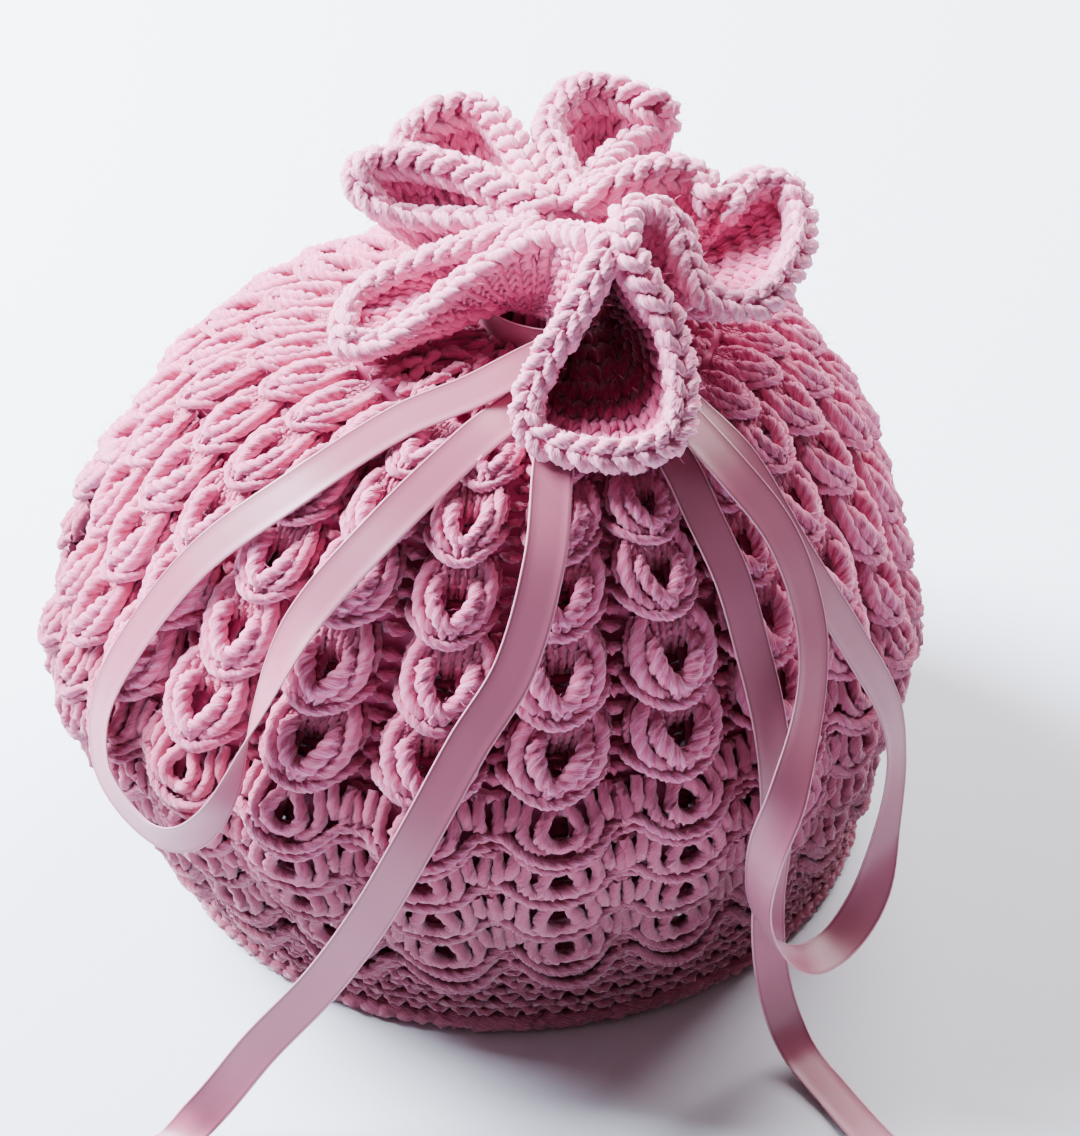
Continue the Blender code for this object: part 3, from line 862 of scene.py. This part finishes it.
# the petals' wool is made paler than the body's: painted light on the petals, which sit highest in
# the light
litPetalWool = woolMaterial("pliedPinkWoolPetals", "#fcc9de", "#ee80ae", "#f47cae", "#741838")
# the backing cloth's wool is darker: painted shade behind the yarn
shadedClothWool = woolMaterial("knittedBackingWool", "#e884b0", "#d0588a", "#d66f9b", "#a8426b")
satin = satinMaterial()
guides = {side: bodyGuide(side) for side in ("front", "back")}
frillGuides = {side: frillGuide(side) for side in ("front", "back")}
print("guides laid")


ground = {
    "relief": (
        # the courses of a row, as shares of its pitch: phase, valley, crown, drop
        (0.00, -0.8, 3.2, 2.0), (0.12, -1.2, 3.0, 0.8), (0.46, -1.6, 1.2, 0.0),
        (0.66, -1.8, 0.4, 0.0), (0.84, -1.8, 0.0, 0.0),
    ),
    # places across a column, and how far each rises from valley to crown
    "across": ((0.0, 0.0), (0.1, 0.25), (0.2, 0.5), (0.3, 0.75), (0.4, 1.0), (0.5, 1.0),
               (0.6, 1.0), (0.7, 0.75), (0.8, 0.5), (0.9, 0.25)),
    "eyeletFrom": 1,         # the course an eyelet starts at, and its faces across the column
    "eyeletFaces": (4, 5),
    "hemRuns": (0.0, 2.5, 8.0, 14.0, 21.0),
    "gatherRuns": (191.0, 199.0, 206.0, 212.0),
    "gatherRelief": -2.2,
    "neckCourse": 220.0,
    "frillRows": 20,
    # Painted shade on the cloth: the body's cloth is coloured deep as the shade behind the yarn,
    # the petals' cloth takes at least the next share.
    "bodyDeep": 0.9,         # painted shade: share of the deep colour, as the shade behind the yarn
    "petalDeep": 0.3,
}


def plainCourses(runs, relief=0.0):
    return [(run, relief, relief, 0.0, None) for run in runs]


def groundCourses():
    # run, valley, crown, drop, and the row whose eyelets start there
    rows = plainCourses(ground["hemRuns"])
    for row in range(len(knit["rowBases"]) - 1):
        base, pitch = rowSpan(row)
        for number, (phase, valley, crown, drop) in enumerate(ground["relief"]):
            eyelets = row if number == ground["eyeletFrom"] else None
            rows.append((base + phase * pitch, valley, crown, drop, eyelets))
    rows += plainCourses(ground["gatherRuns"], ground["gatherRelief"])
    return rows + plainCourses((sectionRuns[-2], ground["neckCourse"], neckRun))


def groundPanel(side):
    # the cloth behind the yarn, with the eyelets left out, up to the frill's edge
    courses = groundCourses()
    stations = [(column + across, full) for column in range(perPanel)
                for across, full in ground["across"]] + [(float(perPanel), 0.0)]
    rows = []
    for run, valley, crown, drop, _ in courses:
        share = reliefShare(run)
        rows.append([bodySpot(side, away, run - drop * share * full,
                              (valley + (crown - valley) * full) * share
                              + pleatRelief(away, run))
                     for away, full in stations])
    for rise in even(0.0, 1.0, ground["frillRows"])[1:]:
        rows.append([frillSpot(side, away / perPanel, rise) for away, _ in stations])

    def eyelet(level, number):
        row = courses[level][4] if level < len(courses) else None
        return (row is not None and row < knit["eyeletRows"]
                and number % len(ground["across"]) in ground["eyeletFaces"])

    mesh = gridMesh(f"{side}_cloth", rows, eyelet)
    # painted shade on the cloth's points
    marks = mesh.attributes.new("deep", "FLOAT", "POINT")
    wide = len(stations)
    for index, mark in enumerate(marks.data):
        level = index // wide
        rise = (level - len(courses) + 1) / ground["frillRows"]
        share = stations[index % wide][0] / perPanel
        mark.value = (ground["bodyDeep"] if level < len(courses)
                      else max(ground["petalDeep"], petalShade(side, share, rise)))
    panel = newObject(f"{side}_cloth", mesh, shadedClothWool)
    wall = panel.modifiers.new("wall", "SOLIDIFY")
    wall.thickness = knit["cloth"] * mm
    wall.offset = -1.0
    return panel


cloths = {side: groundPanel(side) for side in ("front", "back")}
print("cloth made")

units = {
    "bulbFront": strandUnit("bulbFront", bulb["front"]),
    "bulbFill": strandUnit("bulbFill", bulb["fill"]),
    "waveFront": strandUnit("waveFront", wave["front"]),
    "waveFill": strandUnit("waveFill", wave["fill"]),
    "hem": strandUnit("hem", hem["strands"], tip=0.8),
    "roll": strandUnit("roll", hem["roll"]),
    "gathers": strandUnit("gathers", gathers["strands"]),
    "petals": strandUnit("petals", petalKnit["strands"]),
    "castOff": strandUnit("castOff", castOff["strands"]),
}


def frillLength(side):
    spots = [frillSpot(side, share, 1.0) for share in even(0, 1, 96)]
    return sum((after - before).length for before, after in zip(spots, spots[1:]))


def bodyPlaces(runs, stitch, pitch):
    return coursePlaces(runs, pitch / neckRun, lambda run: round(girth(run) / 2 / stitch),
                        lambda run: run / neckRun)


def petalPlaces(rises, count):
    top = 1 + petals["beyond"]
    return coursePlaces(rises, petalKnit["pitch"] / petalKnit["wall"] / top,
                        lambda rise: count, lambda rise: rise / top)


bulbPlaces = motifPlaces([rowSpan(row) for row in range(*bulb["rows"])])
wavePlaces = motifPlaces([rowSpan(row) for row in range(*wave["rows"])])
skirtPlaces = motifPlaces([(knit["skirtBase"], knit["skirtPitch"])])


def knitSide(side, firstSeed):
    stitches = round(frillLength(side) / petalKnit["stitch"])
    links = round(frillLength(side) / castOff["link"])
    onFrill = {"wool": litPetalWool, "guide": frillGuides[side]}

    def knitted(label, places, unit, jitter, seed=0, wool=pinkWool, guide=guides[side],
                **settings):
        return knitPiece(f"{side}_{label}", places, units[unit], guide, wool, jitter,
                         firstSeed + seed, **settings)

    return [
        knitted("bulbs", bulbPlaces, "bulbFront", bulb["jitter"], perPly=3, turn=bulb["turn"]),
        knitted("bulb_fill", bulbPlaces, "bulbFill", bulb["jitter"], step=1.6,
                turn=bulb["turn"]),
        knitted("waves", wavePlaces, "waveFront", wave["jitter"], perPly=3),
        knitted("wave_fill", wavePlaces, "waveFill", wave["jitter"], step=1.6,
                deepSpan=wave["deepSpan"], turn=wave["turn"]),
        knitted("skirt", skirtPlaces, "waveFront", wave["jitter"], 5, perPly=3),
        knitted("hem", bodyPlaces(hem["ridges"], hem["stitch"], hem["pitch"]), "hem",
                hem["jitter"], 1, step=1.5, wander=0.4, deepSpan=(1.5, 0.0)),
        knitted("hem_roll", bodyPlaces((hem["rollRun"],), hem["rollStitch"], hem["pitch"]),
                "roll", hem["rollJitter"], 1, step=1.3, wander=0.2, deepSpan=(1.0, 0.0)),
        knitted("gathers", bodyPlaces(gathers["courses"], gathers["stitch"], gathers["pitch"]),
                "gathers", gathers["jitter"], 2, step=1.5, deepSpan=(0.5, 0.0)),
        knitted("petals", petalPlaces(petalKnit["courses"], stitches)
                + petalPlaces(petalKnit["innerCourses"], stitches // 2), "petals",
                petalKnit["jitter"], 3, **onFrill, step=2.0, wander=0.6,
                deepShare=petalKnit["innerDepth"], deepSpan=(0.0, -1.5)),
        knitted("cast_off", petalPlaces((castOff["rise"],), links), "castOff",
                castOff["jitter"], 4, **onFrill, step=1.2, wander=0.5, perPly=3,
                deepShare=0.0),
    ]


seeds = {"front": 0, "back": 10}
yarnPieces = {side: knitSide(side, seed) for side, seed in seeds.items()}
print("yarn knitted")

# Loose fibres stand off the outermost strands: slivers of a few faces each, bent over.
fibres = {
    "perArea": 73000.0,      # to the square metre
    "outermost": 0.12,       # only strands with less of the deep colour than this
    "lengths": (1.4, 3.6),
    "spread": 1.5,           # how far they lean from straight out
    "sources": ("bulbs", "waves", "skirt", "petals", "cast_off"),
    "seed": 7,
    "sliver": {"bend": (0.12, 0.55), "tip": (0.38, 0.92), "halfThick": 0.02},
}


def fibreSliver():
    shape = fibres["sliver"]
    across, up = shape["bend"]
    points = [(0.0, 0.0, 0.0)]
    for share in even(0, 1, 3)[:-1]:
        angle = 2 * math.pi * share
        points.append((across + shape["halfThick"] * math.cos(angle),
                       shape["halfThick"] * math.sin(angle), up))
    points.append((shape["tip"][0], 0.0, shape["tip"][1]))
    mesh = bpy.data.meshes.new("fibre")
    mesh.from_pydata(points, [], [(0, 2, 1), (0, 3, 2), (0, 1, 3), (1, 2, 4), (2, 3, 4),
                                  (3, 1, 4)])
    return newObject("fibre", mesh)


def buildFibreTree():
    tree, given = newTree("looseFibres", {
        "Collection": ("Yarn",), "Object": ("Sliver",), "Material": ("Wool",),
        "Float": ("Per Area", "Outermost", "Spread", "Shortest", "Longest"),
        "Int": ("Seed",)})
    add, maths, vectors, scaled = nodeMakers(tree)

    strands = add("RealizeInstances", {
        "Geometry": add("CollectionInfo", {"Collection": given["Yarn"]})})
    depth = add("InputNamedAttribute", {"Name": "deep"}, "Attribute", data_type="FLOAT")
    outer = maths("LESS_THAN", depth, given["Outermost"])
    spots = add("DistributePointsOnFaces", {
        "Mesh": strands, "Density": maths("MULTIPLY", outer, given["Per Area"]),
        "Seed": given["Seed"]}, None)
    lean = add("RandomValue", {"Min": (-1, -1, -1), "Max": (1, 1, 1), "Seed": given["Seed"]},
               data_type="FLOAT_VECTOR")
    way = vectors("ADD", spots["Normal"], scaled(lean, given["Spread"]))
    length = add("RandomValue", {2: given["Shortest"], 3: given["Longest"],
                                 "Seed": given["Seed"]}, 1, data_type="FLOAT")
    hairs = add("InstanceOnPoints", {
        "Points": spots["Points"], "Scale": length,
        "Instance": add("ObjectInfo", {"Object": given["Sliver"]}, "Geometry",
                        transform_space="ORIGINAL"),
        "Rotation": add("AlignEulerToVector", {"Vector": way}, axis="Z")})
    return endTree(tree, hairs, given["Wool"])


def looseFibres(side, sliver, seed):
    gathered = bpy.data.collections.new(f"{side}Yarn")
    for piece in yarnPieces[side]:
        if piece.name.removeprefix(f"{side}_") in fibres["sources"]:
            gathered.objects.link(piece)
    shortest, longest = fibres["lengths"]
    host = newObject(f"{side}FibreHost", bpy.data.meshes.new(f"{side}FibreHost"))
    piece = madeBy(fibreTree, host, f"{side}_fibres", {
        "Yarn": gathered, "Sliver": sliver, "Wool": pinkWool, "Per Area": fibres["perArea"],
        "Outermost": fibres["outermost"], "Spread": fibres["spread"],
        "Shortest": shortest * mm, "Longest": longest * mm, "Seed": seed})
    bpy.data.collections.remove(gathered)
    return piece


fibreTree = buildFibreTree()
sliver = fibreSliver()
for side, seed in seeds.items():
    yarnPieces[side].append(looseFibres(side, sliver, seed + fibres["seed"]))
bpy.data.objects.remove(sliver)
print("fibres laid")

# Ribbon strands, from the knot outward: a spot on the strand, and how far its face is rolled
# from facing straight out of the cosy.
ribbon = {
    "width": 10.0,
    "thick": 0.5,
    "step": 2.5,
    "facing": (5.0, 0.0, 70.0),      # the face looks away from this spot in the cosy,
    "tableTurn": (8.0, 2.0),         # and turns up between these heights over the table
    "bandRadii": (23.0, 20.4),
    "bandHeights": (159.9, 167.3),
    "bandSteps": 64,
    "knotCentre": (24.0, -24.6, 163.9),
    "knotSize": (13.0, 8.4, 6.4),
    "knotSteps": 28,
    "strands": {
        "leftLoop": (
            # x, y, z, roll
            (21, -25, 166, 0), (10, -34, 165.2, 0), (-3, -44, 163.5, 0), (-20, -51, 159.5, 0),
            (-44, -63, 149, 0), (-69, -66, 130, 0), (-88, -70, 106, 0), (-96, -75, 90, 0),
            (-95, -84, 77, 0), (-83, -97, 70, 10), (-72, -105, 75, 30), (-62, -107, 89, 75),
            (-54, -99, 107, 130), (-43, -89, 127, 170), (-24, -79, 146.5, 180),
            (-2, -58, 158.6, 180), (10, -42, 159.6, 180), (21, -26, 161.8, 180),
        ),
        "rightLoop": (
            (27, -24, 165, 0), (40, -37, 164, 0), (52, -51, 160, 0), (62, -58, 152, 0),
            (75, -65, 131, 0), (90, -66, 104, 0), (100, -66, 83, 0), (102, -70, 69, 0),
            (100, -76, 52, 15), (96, -85, 39, 50), (88, -95, 32, 75), (79, -104, 34, 75),
            (71, -110, 44, 85), (66, -113, 60, 95), (67, -114, 78, 120), (72, -109, 92, 155),
            (78, -89, 106, 180), (78, -77.5, 119.5, 180), (71, -70, 139, 180),
            (58, -64.5, 155.5, 180), (42, -47, 165, 180), (29, -29, 167.5, 180),
        ),
        "leftTail": (
            (23, -26, 162, 0), (20, -44, 160.5, 0), (17, -63, 157, 0), (15, -85, 143.5, 0),
            (8, -100, 123, 0), (-3, -110, 108, 0), (-15, -119.5, 88, 0), (-27, -123.5, 66, 0),
            (-40, -124.5, 45, 0), (-56, -127, 26, 0), (-69, -131.5, 10, 0), (-79, -137, 2.4, 0),
            (-88, -143, 1.3, 0), (-98, -150, 1.3, 0),
        ),
        "rightTail": (
            (26, -26, 161.6, 0), (37, -44, 158, 0), (46, -60, 154, 0), (52, -69, 145, 0),
            (59, -77, 132, 0), (64, -84, 116, 0), (68, -91, 101, 0), (70, -98, 86, 0),
            (70, -102, 70, 0), (69, -102, 50, 0), (70, -101, 32, 0), (73, -101, 15, 0),
            (78, -106, 4, 0), (86, -118, 1.4, 0), (95, -133, 1.3, 0), (106, -149, 1.3, 0),
        ),
    },
    # half of the cross-section: share of the half width, share of the half thickness
    "section": ((1.0, 0.0), (0.95, 1.0), (0.87, 0.55), (0.45, 0.6), (0.0, 0.6), (-0.45, 0.6),
                (-0.87, 0.55), (-0.95, 1.0)),
}


def strandFrames(rows):
    # even steps along a strand: place, direction and the way its face looks
    knots = runsOf([row[:3] for row in rows])
    count = round(knots[-1] / ribbon["step"])
    marks = [through(rows, knots, knots[-1] * i / count) for i in range(count + 1)]
    frames = []
    for number, mark in enumerate(marks):
        place = Vector(mark[:3])
        ahead = Vector(marks[min(number + 1, count)][:3]) - Vector(marks[max(number - 1, 0)][:3])
        ahead.normalize()
        out = place - Vector(ribbon["facing"])
        out.z = max(out.z, 0.0)
        out.normalize()
        start, end = ribbon["tableTurn"]
        flat = min(max((start - place.z) / (start - end), 0.0), 1.0)
        out = out.lerp(Vector((0, 0, 1)), flat)
        out -= ahead * out.dot(ahead)
        out.normalize()
        roll = math.radians(mark[3])
        frames.append((place, ahead, out * math.cos(roll) + ahead.cross(out) * math.sin(roll)))
    return frames


def sweepRibbon(frames, points, faces, charts, width=None, closed=False):
    upper = ribbon["section"]
    section = (*upper, *((-across, -high) for across, high in upper))
    half = (width or ribbon["width"]) / 2
    thick = ribbon["thick"] / 2
    first, size = len(points), len(section)
    along = 0.0
    for number, (place, ahead, face) in enumerate(frames):
        if number:
            along += (place - frames[number - 1][0]).length
        side = ahead.cross(face)
        for across, high in section:
            points.append(place - side * across * half + face * high * thick)
            charts.append((across / 2 + 0.5, along / ribbon["width"]))
    count = len(frames)
    for step in range(count if closed else count - 1):
        low, high = first + step * size, first + (step + 1) % count * size
        for n in range(size):
            m = (n + 1) % size
            faces.append((low + n, low + m, high + m, high + n))
    if not closed:
        last = first + (count - 1) * size
        faces.append(tuple(range(first + size - 1, first - 1, -1)))
        faces.append(tuple(range(last, last + size)))
    return along


def satinRibbon():
    points, faces, charts, total = [], [], [], 0.0
    for rows in ribbon["strands"].values():
        total += sweepRibbon(strandFrames(rows), points, faces, charts)
    low, high = ribbon["bandHeights"]
    middle = Vector((*petals["centre"], (low + high) / 2))
    turn = []
    wide, deep = ribbon["bandRadii"]
    for share in even(0, 1, ribbon["bandSteps"])[:-1]:
        angle = 2 * math.pi * share
        spot = Vector((wide * math.cos(angle), deep * math.sin(angle), 0))
        out = Vector((spot.x / wide**2, spot.y / deep**2, 0)).normalized()
        turn.append((middle + spot, Vector((-out.y, out.x, 0)), out))
    total += sweepRibbon(turn, points, faces, charts, width=high - low, closed=True)
    centre, wrap = Vector(ribbon["knotCentre"]), []
    long, deep, tall = ribbon["knotSize"]
    for share in even(0, 1, ribbon["knotSteps"])[:-1]:
        angle = 2 * math.pi * share
        out = Vector((0, math.cos(angle), math.sin(angle)))
        wrap.append((centre + Vector((0, out.y * deep / 2, out.z * tall / 2)),
                     Vector((0, -out.z, out.y)), out))
    total += sweepRibbon(wrap, points, faces, charts, width=long, closed=True)
    mesh = bpy.data.meshes.new("satin_ribbon")
    mesh.from_pydata([toWorld(point) for point in points], [], faces)
    chart = mesh.uv_layers.new(name="ribbon")
    for loop in mesh.loops:
        chart.data[loop.index].uv = charts[loop.vertex_index]
    mesh.shade_smooth()
    return newObject("satin_ribbon", mesh, satin), total


ribbonPiece, ribbonLength = satinRibbon()
print(f"ribbon {ribbonLength:.0f} mm")

for item in (*units.values(), *guides.values(), *frillGuides.values()):
    bpy.data.objects.remove(item)

for side in ("front", "back"):
    pieces = [cloths[side], *yarnPieces[side]]
    for piece in pieces:
        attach(piece, "root")
    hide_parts(f"{side}_panel")
    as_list(yarnPieces[side])
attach(ribbonPiece, "root")
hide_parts("ribbon")

# Floor, camera and light.
view = {
    "elevation": 36.07, "azimuth": 1.8, "roll": -1.11, "distance": 759.5,
    "target": (11.16, 0.0, 78.96), "focal": 2812.0, "imageHeight": 1136.0, "sensor": 36.0,
}
room = {
    "floorHalf": 3.0, "floorColour": "#d9e2eb", "floorRoughness": 0.9,
    "worldColour": "#efd0ca", "worldStrength": 0.15,
}


def addFloor():
    mesh = bpy.data.meshes.new("floor")
    half = room["floorHalf"]
    mesh.from_pydata([(-half, -half, 0), (half, -half, 0), (half, half, 0), (-half, half, 0)],
                     [], [(0, 1, 2, 3)])
    material = bpy.data.materials.new("paleTable")
    material.use_nodes = True
    shader = material.node_tree.nodes["Principled BSDF"]
    shader.inputs["Base Color"].default_value = (*srgb(room["floorColour"]), 1)
    shader.inputs["Roughness"].default_value = room["floorRoughness"]
    floor = newObject("floor", mesh, material)


def addCamera():
    data = bpy.data.cameras.new("camera")
    data.sensor_width = view["sensor"]
    data.lens = view["focal"] / view["imageHeight"] * data.sensor_width
    camera = newObject("camera", data)
    raised, turned = math.radians(view["elevation"]), math.radians(view["azimuth"])
    back = Vector((math.sin(turned) * math.cos(raised), -math.cos(turned) * math.cos(raised),
                   math.sin(raised)))
    camera.location = toWorld(Vector(view["target"]) + back * view["distance"])
    look = (-back).to_track_quat("-Z", "Y").to_matrix().to_4x4()
    look = look @ Matrix.Rotation(math.radians(view["roll"]), 4, "Z")
    camera.rotation_euler = look.to_euler()
    bpy.context.scene.camera = camera


lights = {
    # name: place, aim, size, watts, colour
    "window": ((-1.10, 0.45, 1.05), (0.0, 0.0, 0.10), 0.8, 245.0, "#f1f4ff"),
    "backWindow": ((0.65, 1.15, 1.10), (0.0, 0.0, 0.10), 1.2, 86.0, "#fcf3f5"),
}


def addLights():
    for name, (place, aim, size, watts, colour) in lights.items():
        data = bpy.data.lights.new(name, "AREA")
        data.size = size
        data.energy = watts
        data.color = srgb(colour)
        light = newObject(name, data)
        light.location = place
        light.rotation_euler = (Vector(aim) - Vector(place)).to_track_quat("-Z", "Y").to_euler()
    world = bpy.data.worlds.new("softRoom")
    world.use_nodes = True
    background = world.node_tree.nodes["Background"]
    background.inputs["Color"].default_value = (*srgb(room["worldColour"]), 1)
    background.inputs["Strength"].default_value = room["worldStrength"]
    bpy.context.scene.world = world


addFloor()
addCamera()
addLights()
